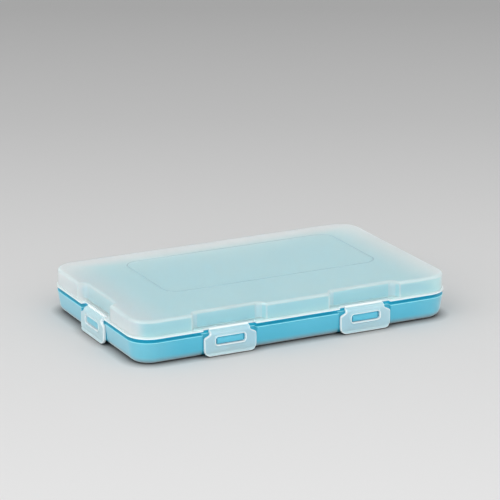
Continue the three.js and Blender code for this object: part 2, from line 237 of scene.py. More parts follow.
# Plastic and steel. A grain is its scale, its strength and its depth.
PLASTIC_IOR = 1.49
PLASTIC_GRAIN = (2600, 0.12, 0.02)
STEEL_GRAIN = (3000, 0.1, 0.01)
DRIFT_SCALE = 26
DRIFT_STOPS = (0.35, 0.65)
SHEEN = 0.3
SHEEN_ROUGHNESS = 0.4

# Painted light, which turns the colour paler: where it starts, and where it is as pale as it gets:
# heights, distances from the middle, distances to the back, and depths under the lid's top. It is a
# painted reflection of the floor on the tub's foot, painted sheen at the tub's ends and painted
# glow at the lid's ends, its back and its top near the ends
FOOT_PAINTED_REFLECTION = (5, 0.2)
TUB_END_PAINTED_SHEEN = (66, 97)
LID_END_PAINTED_GLOW = (89, 94)
LID_BACK_PAINTED_GLOW = (38, 54)
LID_TOP_END_PAINTED_GLOW = (68, 94)
LID_TOP_PAINTED_GLOW = (1, 0.3)

# Floor, in metres: its grey along the camera's heading, a painted pool of light, and how far out it
# has a painted contact shade
FLOOR_REACH = 6
FLOOR_ROUGHNESS = 0.9
FLOOR_SPECULAR = 0.1
FLOOR_STOPS = ((-3, 0.42), (-1, 0.62), (-0.27, 0.75), (0.12, 0.632), (0.45, 0.50), (0.85, 0.39))
CONTACT_REACH = 0.007
CONTACT_SAMPLES = 12

# Lamps, which face the case: place and diameter in metres, power in watts
WORLD_STRENGTH = 0.71
LAMPS = (("key", (-4.9, -0.75, 1.86), 8.5, 216), ("fill", (0.9, -5, 1.8), 7.7, 152))


# Sizes read from the frame
def millimetres(corner):
    return [value / MM for value in corner]


lid_low, lid_high = (millimetres(corner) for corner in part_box("lid_shell"))
HALF_LENGTH = lid_high[0]
HALF_WIDTH = -lid_low[1]
RIM_BOTTOM = millimetres(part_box("latch_front_left")[1])[2] + FLAP_GAP
RIM_TOP = RIM_BOTTOM + RIM_THICKNESS
CASE_TOP = lid_high[2]
CEILING = CASE_TOP - TOP_THICKNESS
SEAL_TOP = millimetres(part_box("seal_ring")[1])[2]
LIP_TOP = millimetres(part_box("seal_ring")[0])[2]
LEDGE = LIP_TOP - LEDGE_DROP


class Station:
    """Where one flap sits: the turn of its side about Z and its place along that side."""

    def __init__(self, name):
        low, high = (millimetres(corner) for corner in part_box(f"latch_{name}"))
        middle = [(a + b) / 2 for a, b in zip(low, high)]
        self.name = name
        self.turns = 3 if name == "side_left" else 0
        self.reach = HALF_LENGTH if name == "side_left" else HALF_WIDTH
        self.along = -middle[1] if name == "side_left" else middle[0]
        turn = Matrix.Rotation(self.turns * QUARTER_TURN, 4, "Z")
        self.matrix = turn @ Matrix.Translation((self.along, -self.reach, 0))

    def place(self, along, outward, height):
        """A point given along the side, outward from the rim's outline, and up."""
        return self.matrix @ Vector((along, -outward, height))


stations = [Station(name) for name in ("front_left", "front_right", "side_left")]


# Outlines
def quarter(steps, first=0):
    """The sine and cosine at even steps through a quarter turn."""
    for step in range(first, steps + 1):
        angle = QUARTER_TURN * step / steps
        yield math.sin(angle), math.cos(angle)


def arc(middle, radius, start, end, steps):
    points = []
    for step in range(steps + 1):
        angle = start + (end - start) * step / steps
        points.append((middle[0] + radius * math.cos(angle), middle[1] + radius * math.sin(angle)))
    return points


def fillet(before, corner, after, radius):
    """Points that round one corner, always the same count, also where the radius has no room."""
    corner = Vector(corner)
    to_before = Vector(before) - corner
    to_after = Vector(after) - corner
    room = FILLET_SHARE * min(to_before.length, to_after.length)
    if min(radius, room) < NO_ROOM:
        return [tuple(corner)] * FILLET_POINTS
    half = to_before.angle(to_after) / 2
    reach = min(radius / math.tan(half), room)
    start = corner + to_before.normalized() * reach
    end = corner + to_after.normalized() * reach
    bisector = (to_before.normalized() + to_after.normalized()).normalized()
    middle = corner + bisector * (reach / math.cos(half))
    sweep = math.pi - 2 * half
    points = []
    for step in range(FILLET_STEPS + 1):
        share = step / FILLET_STEPS
        first = math.sin((1 - share) * sweep) / math.sin(sweep)
        second = math.sin(share * sweep) / math.sin(sweep)
        points.append(tuple(middle + first * (start - middle) + second * (end - middle)))
    return points


def side_points(setback, station, steps):
    """One flap's stretch of an outline, as (along, setback). steps is a list of (front half width,
    back half width, setback, front fillet, back fillet) from the outermost one in."""
    corners = []
    level = setback
    for front_half, back_half, depth, front_radius, back_radius in steps:
        corners.append((-front_half, level, front_radius))
        corners.append((-back_half, depth, back_radius))
        level = depth
    corners += [(-along, depth, radius) for along, depth, radius in reversed(corners)]
    middle = station.along
    line = [(middle - LINE_REACH, setback)]
    line += [(middle + along, depth) for along, depth, _ in corners]
    line.append((middle + LINE_REACH, setback))
    points = []
    for index, (_, _, radius) in enumerate(corners):
        points += fillet(line[index], line[index + 1], line[index + 2], radius)
    return points


def case_outline(setback, steps=()):
    """The case's plan at a setback from the rim's outline, anticlockwise from the front."""
    radius = max(RIM_CORNER_RADIUS - setback, LEAST_CORNER_RADIUS)
    half_x = HALF_LENGTH - setback
    half_y = HALF_WIDTH - setback
    outline = []
    for turns in range(4):
        along_y = turns % 2
        half_along, half_out = (half_y, half_x) if along_y else (half_x, half_y)
        reach = half_out + setback
        points = []
        for station in stations:
            if station.turns == turns:
                points += side_points(setback, station, steps)
        ring = [(along, depth - reach) for along, depth in points]
        middle = (half_along - radius, radius - half_out)
        ring += arc(middle, radius, -QUARTER_TURN, 0, CORNER_STEPS)
        turn = Matrix.Rotation(turns * QUARTER_TURN, 2)
        outline += [tuple(turn @ Vector(point)) for point in ring]
    return outline


def station_faces(corners, left_out):
    """Numbers of the faces in a flap's stretch of an outline, which has that many corners."""
    count = corners * FILLET_POINTS
    places = set()
    start = 0
    for turns in range(4):
        for station in stations:
            if station.turns == turns:
                places.update(start + step for step in range(count - 1) if step not in left_out)
                start += count
        start += CORNER_STEPS + 1
    return places


def rounded_rectangle(half_x, half_y, radius, shift):
    points = []
    for corner in range(4):
        side_x = 1 if corner in (0, 3) else -1
        side_y = 1 if corner in (0, 1) else -1
        middle = (side_x * (half_x - radius) + shift[0], side_y * (half_y - radius) + shift[1])
        start, end = corner * QUARTER_TURN, (corner + 1) * QUARTER_TURN
        points += arc(middle, radius, start, end, CORNER_STEPS)
    return points


def round_edge(setback, height, radius, start, end, steps=EDGE_STEPS):
    """(setback, height) pairs along a round edge about a middle, angles in degrees from outward."""
    pairs = []
    for step in range(steps + 1):
        angle = math.radians(start + (end - start) * step / steps)
        pairs.append((setback - radius * math.cos(angle), height + radius * math.sin(angle)))
    return pairs


# Meshes
class Shell:
    """Points and faces of one closed surface, built from rings of equal length."""

    def __init__(self):
        self.points = []
        self.faces = []
        self.painted_light_slots = {}

    def ring(self, outline, height):
        start = len(self.points)
        self.points += [(x, y, height) for x, y in outline]
        return list(range(start, len(self.points)))

    def space_ring(self, points):
        start = len(self.points)
        self.points += [tuple(point) for point in points]
        return list(range(start, len(self.points)))

    def bridge(self, lower, upper, painted_slot=0, where=None):
        """Joins two rings. The faces in where, or all, take the material of that number, which
        holds painted highlight or painted shade.
        """
        count = len(lower)
        for here in range(count):
            after = (here + 1) % count
            if painted_slot and (where is None or here in where):
                self.painted_light_slots[len(self.faces)] = painted_slot
            self.faces.append((lower[here], lower[after], upper[after], upper[here]))

    def without_repeats(self, ring):
        kept = []
        for here, index in enumerate(ring):
            before = Vector(self.points[ring[here - 1]])
            if (Vector(self.points[index]) - before).length > SAME_POINT:
                kept.append(index)
        return kept

    def cap(self, *rings):
        """Fills the flat area inside the first ring and outside the others."""
        rings = [self.without_repeats(ring) for ring in rings]
        loops = [[Vector(self.points[index]) for index in ring] for ring in rings]
        indices = [index for ring in rings for index in ring]
        for triangle in tessellate_polygon(loops):
            self.faces.append(tuple(indices[corner] for corner in triangle))


def build_mesh(name, shell):
    mesh = bpy.data.meshes.new(name)
    points = [tuple(value * MM for value in point) for point in shell.points]
    mesh.from_pydata(points, [], shell.faces)
    for face, painted_slot in shell.painted_light_slots.items():
        mesh.polygons[face].material_index = painted_slot
    work = bmesh.new()
    work.from_mesh(mesh)
    bmesh.ops.remove_doubles(work, verts=work.verts, dist=MERGE_DISTANCE)
    bmesh.ops.dissolve_degenerate(work, edges=work.edges, dist=MERGE_DISTANCE)
    bmesh.ops.recalc_face_normals(work, faces=work.faces)
    work.to_mesh(mesh)
    work.free()
    return mesh


def add_piece(name, shell, materials, body, nodes):
    """A smooth shaded piece that stands for CAD nodes and rides on a body, or on none."""
    mesh = build_mesh(name, shell)
    mesh.shade_smooth()
    mesh.set_sharp_from_angle(angle=math.radians(SHARP_ANGLE))
    for material in materials:
        mesh.materials.append(material)
    piece = bpy.data.objects.new(name, mesh)
    bpy.context.scene.collection.objects.link(piece)
    even = piece.modifiers.new("even_normals", "WEIGHTED_NORMAL")
    even.keep_sharp = True
    even.weight = EVEN_WEIGHT
    if body:
        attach(piece, body)
    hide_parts(*nodes)
    return piece


# Numbers of the materials with painted light that a piece has beside its main one: a painted
# highlight on edges on all, then painted shade on the lip and in the recess on the tub, a painted
# highlight on folds and painted shade in the line on the lid
EDGE_HIGHLIGHT = 1
LIP_SHADE = 2
RECESS_SHADE = 3
FOLD_HIGHLIGHT = 2
LINE_SHADE = 3

# Corners in a flap's stretch of the tub's and the lid's outline
TUB_CORNERS = 8
LID_CORNERS = 4


# Tub
def tub_wall(height):
    """Setback of the outer wall at a height."""
    if height < FOOT_RADIUS:
        drop = FOOT_RADIUS - height
        return FOOT_SETBACK + FOOT_RADIUS - math.sqrt(FOOT_RADIUS**2 - drop**2)
    top = LEDGE - LEDGE_ROUND
    if height <= top:
        share = (height - FOOT_RADIUS) / (top - FOOT_RADIUS)
        return FOOT_SETBACK + share * (LEDGE_SETBACK - FOOT_SETBACK)
    rise = min(height - top, LEDGE_ROUND)
    return LEDGE_SETBACK + LEDGE_ROUND - math.sqrt(LEDGE_ROUND**2 - rise**2)


def recess_depth(height):
    slope_foot = LEDGE - RECESS_SLOPE_RISE
    if height <= slope_foot:
        return RECESS_BACK
    share = (height - slope_foot) / RECESS_SLOPE_RISE
    return RECESS_BACK + share * (LIP_SETBACK - RECESS_BACK)


def tub_shell():
    shell = Shell()
    tab_top = LEDGE - TAB_BELOW_LEDGE
    tab_bottom = tab_top - TAB_HEIGHT

    def outer_ring(height, tab):
        wall = tub_wall(height)
        recess = max(wall, recess_depth(height))
        tip = min(recess, tab if tab is not None else recess)
        steps = [(RECESS_HALF_WIDTH, RECESS_HALF_WIDTH, recess, RECESS_FILLET, RECESS_FILLET),
                 (TAB_HALF_WIDTH, TAB_HALF_WIDTH, tip, TAB_FILLET, TAB_FILLET)]
        return shell.ring(case_outline(wall, steps), height)

    def inner_ring(setback, height):
        steps = [(half, half, setback, 0, 0) for half in (RECESS_HALF_WIDTH, TAB_HALF_WIDTH)]
        return shell.ring(case_outline(setback, steps), height)

    levels = [(FOOT_RADIUS * (1 - cos), None) for _, cos in quarter(FOOT_STEPS)]
    levels.append((tab_bottom, None))
    for sin, cos in quarter(EDGE_STEPS):
        height = tab_bottom + TAB_FOOT_BEVEL * (1 - cos)
        levels.append((height, TAB_TIP + TAB_FOOT_BEVEL * (1 - sin)))
    levels.append((tab_top - TAB_LEAD_IN_DROP, TAB_TIP))
    levels.append((tab_top, TAB_TIP + TAB_LEAD_IN))
    levels.append((tab_top, None))
    levels.append((LEDGE - RECESS_SLOPE_RISE, None))
    edge_foot = LEDGE - LEDGE_ROUND
    levels += [(edge_foot + LEDGE_ROUND * sin, None) for sin, _ in quarter(EDGE_STEPS)]
    rings = [outer_ring(height, tab) for height, tab in levels]
    # Painted highlight on the lower part of the ledge's round, painted shade above it on the ledge
    highlight_end = edge_foot + LEDGE_HIGHLIGHT_SHARE * LEDGE_ROUND
    painted_light_slots = []
    for height, _ in levels:
        painted_light_slots.append(LIP_SHADE if height > highlight_end else EDGE_HIGHLIGHT if height > edge_foot else 0)

    lip_inner = LIP_SETBACK + LIP_THICKNESS
    pairs = [(LIP_SETBACK, LEDGE)]
    pairs += round_edge(LIP_SETBACK + LIP_ROUND, LIP_TOP - LIP_ROUND, LIP_ROUND, 0, 90)
    pairs += round_edge(lip_inner - LIP_ROUND, LIP_TOP - LIP_ROUND, LIP_ROUND, 90, 180)
    bay_wall = lip_inner + BAY_DRAFT
    floor_middle = TUB_FLOOR + BAY_FLOOR_RADIUS
    for sin, cos in quarter(EDGE_STEPS):
        setback = bay_wall + BAY_FLOOR_RADIUS * (1 - cos)
        pairs.append((setback, floor_middle - BAY_FLOOR_RADIUS * sin))
    rings += [inner_ring(setback, height) for setback, height in pairs]
    # Painted shade on the lip and all over the tub's inside
    painted_light_slots += [LIP_SHADE] * len(pairs)
    tabs = [tab is not None for _, tab in levels] + [False] * len(pairs)
    tab_face = range(3 * FILLET_POINTS, 5 * FILLET_POINTS - 1)
    for level, (lower, upper) in enumerate(zip(rings, rings[1:])):
        if painted_light_slots[level + 1]:
            shell.bridge(lower, upper, painted_light_slots[level + 1])
        else:
            # Painted shade in the recesses beside the flaps, but not on the tabs' faces
            left_out = tab_face if tabs[level] and tabs[level + 1] else ()
            shell.bridge(lower, upper, RECESS_SHADE, station_faces(TUB_CORNERS, left_out))
    shell.cap(rings[0])
    shell.cap(rings[-1])
    return shell


# Lid
def pocket_step(setback, margin, front_radius):
    """The pocket's plan, grown by a margin, as one step of an outline at a setback."""
    slant = math.atan(POCKET_FLARE)
    depth = POCKET_DEPTH + margin
    back_half = POCKET_HALF_WIDTH + margin * math.tan((QUARTER_TURN - slant) / 2)
    front_half = back_half + max(depth - setback, 0) * POCKET_FLARE
    return [(front_half, back_half, max(depth, setback), front_radius, POCKET_BACK_RADIUS + margin)]


def lid_shell():
    shell = Shell()

    def pocket_ring(setback, height, margin, front_radius=POCKET_FRONT_RADIUS):
        return shell.ring(case_outline(setback, pocket_step(setback, margin, front_radius)), height)

    def notch_ring(setback, height):
        step = (NOTCH_HALF_WIDTH, NOTCH_HALF_WIDTH, NOTCH_DEPTH, NOTCH_FILLET, NOTCH_FILLET)
        return shell.ring(case_outline(setback, [step]), height)

    def plain_ring(setback, height):
        step = (NOTCH_HALF_WIDTH, NOTCH_HALF_WIDTH, setback, 0, 0)
        return shell.ring(case_outline(setback, [step]), height)

    inner_wall = WALL_SETBACK + WALL_THICKNESS
    rings = []
    for setback, height in round_edge(
        inner_wall + INNER_RADIUS, CEILING - INNER_RADIUS, INNER_RADIUS, 90, 0
    ):
        rings.append(pocket_ring(setback, height, POCKET_WALL + setback - inner_wall))
    rings.append(pocket_ring(inner_wall, RIM_TOP, POCKET_WALL))
    rings.append(plain_ring(SHELF_SETBACK, RIM_TOP))
    rings.append(plain_ring(SHELF_SETBACK, RIM_BOTTOM))
    rings.append(plain_ring(GROOVE_INNER, RIM_BOTTOM))
    rings.append(plain_ring(GROOVE_INNER, RIM_BOTTOM + GROOVE_DEPTH))
    rings.append(plain_ring(GROOVE_OUTER, RIM_BOTTOM + GROOVE_DEPTH))
    rings.append(plain_ring(GROOVE_OUTER, RIM_BOTTOM))
    painted_light_slots = [0] * len(rings)
    # Painted highlight on the rim's lower round and up to the highlight's height
    edge_height = RIM_BOTTOM + RIM_LOWER_ROUND
    for setback, height in round_edge(RIM_LOWER_ROUND, edge_height, RIM_LOWER_ROUND, -90, 0):
        rings.append(notch_ring(setback, height))
    rings.append(notch_ring(0, RIM_BOTTOM + RIM_HIGHLIGHT_HEIGHT))
    painted_light_slots += [EDGE_HIGHLIGHT] * (len(rings) - len(painted_light_slots))
    # Painted highlight on the rim's upper round
    edge_height = RIM_TOP - RIM_UPPER_ROUND
    for setback, height in round_edge(RIM_UPPER_ROUND, edge_height, RIM_UPPER_ROUND, 0, 90):
        rings.append(notch_ring(setback, height))
    painted_light_slots += [FOLD_HIGHLIGHT] * (len(rings) - len(painted_light_slots))
    for sin, cos in quarter(EDGE_STEPS):
        share = 1 - sin
        setback = WALL_SETBACK - WALL_FOOT_RADIUS * share
        height = RIM_TOP + POCKET_FOOT_RADIUS * (1 - cos)
        rings.append(pocket_ring(setback, height, -POCKET_FOOT_RADIUS * share))
    painted_light_slots += [0] * (len(rings) - len(painted_light_slots))
    # Painted highlight on the round top edge
    upper_wall = WALL_SETBACK + WALL_DRAFT
    pocket_edge_foot = CASE_TOP - POCKET_EDGE_RADIUS
    edge_height = CASE_TOP - TOP_EDGE_RADIUS
    for setback, height in round_edge(
        upper_wall + TOP_EDGE_RADIUS, edge_height, TOP_EDGE_RADIUS, 0, 90, 2 * EDGE_STEPS
    ):
        rise = min(max(height - pocket_edge_foot, 0), POCKET_EDGE_RADIUS)
        margin = POCKET_EDGE_RADIUS - math.sqrt(POCKET_EDGE_RADIUS**2 - rise**2)
        rings.append(pocket_ring(setback, height, margin))
    painted_light_slots += [0] + [FOLD_HIGHLIGHT] * (len(rings) - len(painted_light_slots) - 1)
    wall_start = painted_light_slots.index(0, painted_light_slots.index(EDGE_HIGHLIGHT))
    # The wall's faces at the pockets' fillets take the painted highlight too
    flats = [corner * FILLET_POINTS - 1 for corner in range(1, LID_CORNERS)]
    for level, (lower, upper) in enumerate(zip(rings, rings[1:])):
        if painted_light_slots[level + 1]:
            shell.bridge(lower, upper, painted_light_slots[level + 1])
        else:
            folds = station_faces(LID_CORNERS, flats) if level >= wall_start else ()
            shell.bridge(lower, upper, FOLD_HIGHLIGHT, folds)
    shell.cap(rings[0])

    def panel_ring(setback, height):
        sizes = (PANEL_HALF_LENGTH, PANEL_HALF_WIDTH, PANEL_RADIUS)
        outline = rounded_rectangle(*(size - setback for size in sizes), PANEL_SHIFT)
        return shell.ring(outline, height)

    panel_rings = []
    for step in range(2 * EDGE_STEPS + 1):
        share = step / EDGE_STEPS - 1
        depth = PANEL_LINE_DEPTH * math.cos(QUARTER_TURN * share)
        panel_rings.append(panel_ring(share * PANEL_LINE_WIDTH / 2, CASE_TOP - depth))
    # Painted shade in the panel line's groove
    for outer, inner in zip(panel_rings, panel_rings[1:]):
        shell.bridge(outer, inner, LINE_SHADE)
    shell.cap(rings[-1], panel_rings[0])
    shell.cap(panel_rings[-1])
    return shell


def seal_shell():
    """A ring with a rounded section between the lip and the groove's top."""
    shell = Shell()
    inner, outer = SEAL_INNER - SEAL_ROUND, SEAL_OUTER + SEAL_ROUND
    low, high = LIP_TOP + SEAL_ROUND, SEAL_TOP - SEAL_ROUND
    pairs = []
    corners = ((inner, high, 90), (inner, low, 180), (outer, low, 270), (outer, high, 360))
    for setback, height, start in corners:
        pairs += round_edge(setback, height, SEAL_ROUND, start, start + 90)
    rings = [shell.ring(case_outline(setback), height) for setback, height in pairs]
    for lower, upper in zip(rings, rings[1:] + rings[:1]):
        shell.bridge(lower, upper)
    return shell


# Flaps
def bezier(points, steps):
    """Points of a Bezier curve, without its last one."""
    curve = []
    for step in range(steps):
        share = step / steps
        level = [Vector(point) for point in points]
        while len(level) > 1:
            level = [a.lerp(b, share) for a, b in zip(level, level[1:])]
        curve.append(tuple(level[0]))
    return curve


def stretch(start, end, steps):
    return [tuple(Vector(start).lerp(Vector(end), step / steps)) for step in range(steps)]


def both_halves(right):
    """A closed outline from its right half, which runs from the bottom's middle to the top's."""
    left = [(-along, height) for along, height in reversed(right[1:])]
    return right + left


def flap_outline():
    flat, corner, side, shoulder, neck, top = FLAP_STEPS
    flat_end = FLAP_HALF_WIDTH - FLAP_CORNER
    corner_top = FLAP_BOTTOM + FLAP_CORNER
    neck_foot = FLAP_TOP - FLAP_NECK_DROP
    shoulder_foot = neck_foot - FLAP_SHOULDER_DROP
    middle = (neck_foot + shoulder_foot) / 2
    right = stretch((0, FLAP_BOTTOM), (flat_end, FLAP_BOTTOM), flat)
    right += arc((flat_end, corner_top), FLAP_CORNER, -QUARTER_TURN, 0, corner)[:-1]
    right += stretch((FLAP_HALF_WIDTH, corner_top), (FLAP_HALF_WIDTH, shoulder_foot), side)
    right += bezier(
        [(FLAP_HALF_WIDTH, shoulder_foot), (FLAP_HALF_WIDTH, middle),
         (FLAP_NECK_HALF, middle), (FLAP_NECK_HALF, neck_foot)], shoulder)
    right += stretch((FLAP_NECK_HALF, neck_foot), (FLAP_NECK_HALF, FLAP_TOP), neck)
    right += stretch((FLAP_NECK_HALF, FLAP_TOP), (0, FLAP_TOP), top)
    return both_halves(right + [(0, FLAP_TOP)])


def slot_outline(margin):
    """The slot's outline, grown by a margin, with as many points as the flap's."""
    flat, corner, side, shoulder, neck, top = FLAP_STEPS
    half = SLOT_HALF_WIDTH + margin
    low = SLOT_BOTTOM - margin
    high = SLOT_TOP + margin
    radius = SLOT_RADIUS + margin
    flat_end = half - radius
    right = stretch((0, low), (flat_end, low), flat)
    right += arc((flat_end, low + radius), radius, -QUARTER_TURN, 0, corner)[:-1]
    right += stretch((half, low + radius), (half, high - radius), side)
    right += arc((flat_end, high - radius), radius, 0, QUARTER_TURN, shoulder)[:-1]
    near = SLOT_NECK_SHARE * flat_end
    right += stretch((flat_end, high), (near, high), neck)
    right += stretch((near, high), (0, high), top)
    return both_halves(right + [(0, high)])


def inset(outline, margin):
    """The outline moved in along its own normals."""
    moved = []
    for here, (along, height) in enumerate(outline):
        before = Vector(outline[here - 1])
        after = Vector(outline[(here + 1) % len(outline)])
        run = (after - before).normalized()
        moved.append((along - run[1] * margin, height + run[0] * margin))
    return moved


def smooth_share(value, start, end):
    share = min(max((value - start) / (end - start), 0), 1)
    return share * share * (3 - 2 * share)


def flap_face(height):
    """How far out the flap's face is at a height: its head bends back along a parabola."""
    crown_foot = FLAP_TOP - FLAP_CROWN_DROP
    if height <= crown_foot:
        share = 1 - smooth_share(height, FINGER_LIP_FOOT, FINGER_LIP_TOP)
        return FLAP_FACE + share * (FINGER_LIP_FACE - FLAP_FACE)
    knee = FLAP_TOP - FLAP_HEAD_HEIGHT
    a = FLAP_TOP - 2 * knee + crown_foot
    b = 2 * (knee - FLAP_TOP)
    c = FLAP_TOP - height
    share = (-b - math.sqrt(max(b * b - 4 * a * c, 0))) / (2 * a)
    share = min(max(share, 0), 1)
    return (1 - share) ** 2 * FLAP_HEAD_OUTER + (1 - (1 - share) ** 2) * FLAP_FACE


def flap_back(height):
    """How far out the flap's back is at a height."""
    inner_face = FLAP_FACE - FLAP_THICKNESS
    crown_foot = FLAP_TOP - FLAP_CROWN_DROP
    head_foot = FLAP_TOP - FLAP_HEAD_HEIGHT
    return inner_face + smooth_share(height, crown_foot, head_foot) * (FLAP_HEAD_INNER - inner_face)


def flap_shell(station):
    """Rings that run up the slot's frame, over the plate, round its edge and back behind it."""
    shell = Shell()
    outline = flap_outline()
    rings = []
    painted_light_slots = []

    def add_ring(painted_slot, points, face, lift=0):
        """One ring at a lift from a face, which is a function of the height."""
        rings.append(shell.space_ring(
            [station.place(along, face(height) + lift, height) for along, height in points]))
        painted_light_slots.append(painted_slot)

    def plate_front(height):
        return FLAP_FACE

    def between(start, end, share):
        return [tuple(Vector(a).lerp(Vector(b), share)) for a, b in zip(start, end)]

    # Painted highlight on the inner round of the slot's frame, and on the flap's front and back
    # edges below its head
    for sin, cos in quarter(EDGE_STEPS):
        lift = FRAME_HEIGHT - FRAME_EDGE * (1 - sin)
        add_ring(EDGE_HIGHLIGHT, slot_outline(FRAME_EDGE * (1 - cos)), plate_front, lift)
    add_ring(EDGE_HIGHLIGHT, slot_outline(FRAME_WIDTH / 2), plate_front, FRAME_HEIGHT)
    for sin, cos in quarter(EDGE_STEPS):
        margin = FRAME_WIDTH - FRAME_EDGE * (1 - sin)
        add_ring(0, slot_outline(margin), plate_front, FRAME_HEIGHT - FRAME_EDGE * (1 - cos))
    plate_start = slot_outline(FRAME_WIDTH + FRAME_FOOT)
    plate_end = inset(outline, FLAP_EDGE)
    for sin, _ in quarter(PLATE_RINGS):
        add_ring(0, between(plate_start, plate_end, sin), flap_face)
    for sin, cos in quarter(EDGE_STEPS, first=1):
        add_ring(EDGE_HIGHLIGHT, inset(outline, FLAP_EDGE * (1 - sin)), flap_face, -FLAP_EDGE * (1 - cos))
    for sin, cos in quarter(EDGE_STEPS):
        points = inset(outline, FLAP_BACK_EDGE * (1 - cos))
        add_ring(EDGE_HIGHLIGHT, points, flap_back, FLAP_BACK_EDGE * (1 - sin))
    back_start = inset(outline, FLAP_BACK_EDGE)
    back_end = slot_outline(FRAME_EDGE)
    for _, cos in quarter(PLATE_RINGS, first=1):
        add_ring(0, between(back_start, back_end, 1 - cos), flap_back)
    for sin, cos in quarter(EDGE_STEPS, first=1):
        add_ring(0, slot_outline(FRAME_EDGE * (1 - sin)), flap_back, FRAME_EDGE * (1 - cos))
    head_start = sum(FLAP_STEPS[:-1])
    below_head = set(range(len(outline))) - set(range(head_start, len(outline) - head_start))
    frame_rings = EDGE_STEPS + 2
    for level, (lower, upper) in enumerate(zip(rings, rings[1:] + rings[:1]), 1):
        at_slot = level < frame_rings or level == len(rings)
        where = None if at_slot else below_head
        shell.bridge(lower, upper, painted_light_slots[level % len(rings)], where)
    return shell


def film_shell(station):
    """A thin strip bent from the rim down to the flap, with its ends inside both."""
    shell = Shell()
    path = [(cos, sin, 0, 0) for sin, cos in quarter(FILM_STEPS)]
    path = [(1, 0, 0, -FILM_TUCK)] + path + [(0, 1, -FILM_TUCK, 0)]
    rings = []
    for cos, sin, shift_out, shift_up in path:
        ring = []
        for radius, run in ((FILM_OUTER_RADIUS, 1), (FILM_INNER_RADIUS, -1)):
            outward = radius * cos - NOTCH_DEPTH + shift_out
            height = FLAP_TOP + radius * sin + shift_up
            for step in range(FILM_ACROSS_STEPS + 1):
                along = run * FILM_HALF_WIDTH * (2 * step / FILM_ACROSS_STEPS - 1)
                ring.append(station.place(along, outward, height))
        rings.append(shell.space_ring(ring))
    for lower, upper in zip(rings, rings[1:]):
        shell.bridge(lower, upper)
    for ring in (rings[0], rings[-1]):
        for step in range(FILM_ACROSS_STEPS):
            far = len(ring) - 1 - step
            shell.faces.append((ring[step], ring[step + 1], ring[far - 1], ring[far]))
    return shell


# Cell trays
def tray_shell(side):
    """A tray with a round cradle for each cell of the back row (side 1) or front row (side -1)."""
    shell = Shell()
    radius = RIM_CORNER_RADIUS - TRAY_SETBACK
    plan = [(-TRAY_HALF_LENGTH, TRAY_MIDDLE), (TRAY_HALF_LENGTH, TRAY_MIDDLE)]
    corner = TRAY_HALF_LENGTH - radius
    for middle, start in ((corner, 0), (-corner, QUARTER_TURN)):
        place = (middle, TRAY_END - radius)
        plan += arc(place, radius, start, start + QUARTER_TURN, CORNER_STEPS)
    plan = [(side * x, side * y) for x, y in plan]
    bottom = shell.ring(plan, TUB_FLOOR)
    top = shell.ring(plan, RIDGE_TOP)
    shell.bridge(bottom, top)
    shell.cap(bottom)
    middle_height = TRAY_TOP + CRADLE_RADIUS
    spread = math.acos((middle_height - RIDGE_TOP) / CRADLE_RADIUS)
    holes = []
    for place in range(CELLS_IN_A_ROW):
        middle = (place + 0.5 - CELLS_IN_A_ROW / 2) * CELL_PITCH
        profile = []
        for step in range(CRADLE_STEPS + 1):
            angle = spread * (2 * step / CRADLE_STEPS - 1)
            along = middle + CRADLE_RADIUS * math.sin(angle)
            profile.append((along, middle_height - CRADLE_RADIUS * math.cos(angle)))
        start = shell.space_ring([(side * x, side * CRADLE_START, z) for x, z in profile])
        stop = shell.space_ring([(side * x, side * CRADLE_END, z) for x, z in profile])
        for step in range(CRADLE_STEPS):
            shell.faces.append((start[step], start[step + 1], stop[step + 1], stop[step]))
        shell.faces.append(tuple(start))
        shell.faces.append(tuple(stop))
        holes.append([start[0], start[-1], stop[-1], stop[0]])
    shell.cap(top, *holes)
    return shell


def add_bevel(piece, width):
    """Rounds the piece's edges, before its normals are evened."""
    bevel = piece.modifiers.new("soft_edges", "BEVEL")
    bevel.width = width * MM
    bevel.segments = BEVEL_SEGMENTS
    bevel.limit_method = "ANGLE"
    bevel.angle_limit = math.radians(BEVEL_ANGLE)
    bevel.harden_normals = True
    piece.modifiers.move(len(piece.modifiers) - 1, 0)


# Back hinges
def knuckle_shell(start, end, bore, upward):
    """A bored barrel with its web to the rim (upward) or the tub, between two places along X."""
    shell = Shell()
    y, z = HINGE_AXIS
    web_end = RIM_BOTTOM if upward else LEDGE
    barrel_end = z + BARREL_RADIUS if upward else z - BARREL_RADIUS
    sign = 1 if upward else -1
    profile = [(KNUCKLE_ROOT, barrel_end)]
    touch = math.asin((web_end - z) * sign / BARREL_RADIUS)
    for step in range(BARREL_STEPS + 1):
        angle = QUARTER_TURN - (QUARTER_TURN + math.pi - touch) * step / BARREL_STEPS
        rise = sign * BARREL_RADIUS * math.sin(angle)
        profile.append((y + BARREL_RADIUS * math.cos(angle), z + rise))
    profile.append((KNUCKLE_ROOT, web_end))
    hole = arc((y, z), bore, 0, 4 * QUARTER_TURN, BARREL_STEPS)[:-1]
    rings = {}
    for name, outline in (("barrel", profile), ("bore", hole)):
        rings[name] = [shell.space_ring([(x, a, b) for a, b in outline]) for x in (start, end)]
        shell.bridge(*rings[name])
    for outer, inner in zip(rings["barrel"], rings["bore"]):
        outer = shell.without_repeats(outer)
        loops = []
        for ring in (outer, inner):
            loops.append([Vector((*shell.points[index][1:], 0)) for index in ring])
        indices = outer + inner
        for triangle in tessellate_polygon(loops):
            shell.faces.append(tuple(indices[corner] for corner in triangle))
    return shell


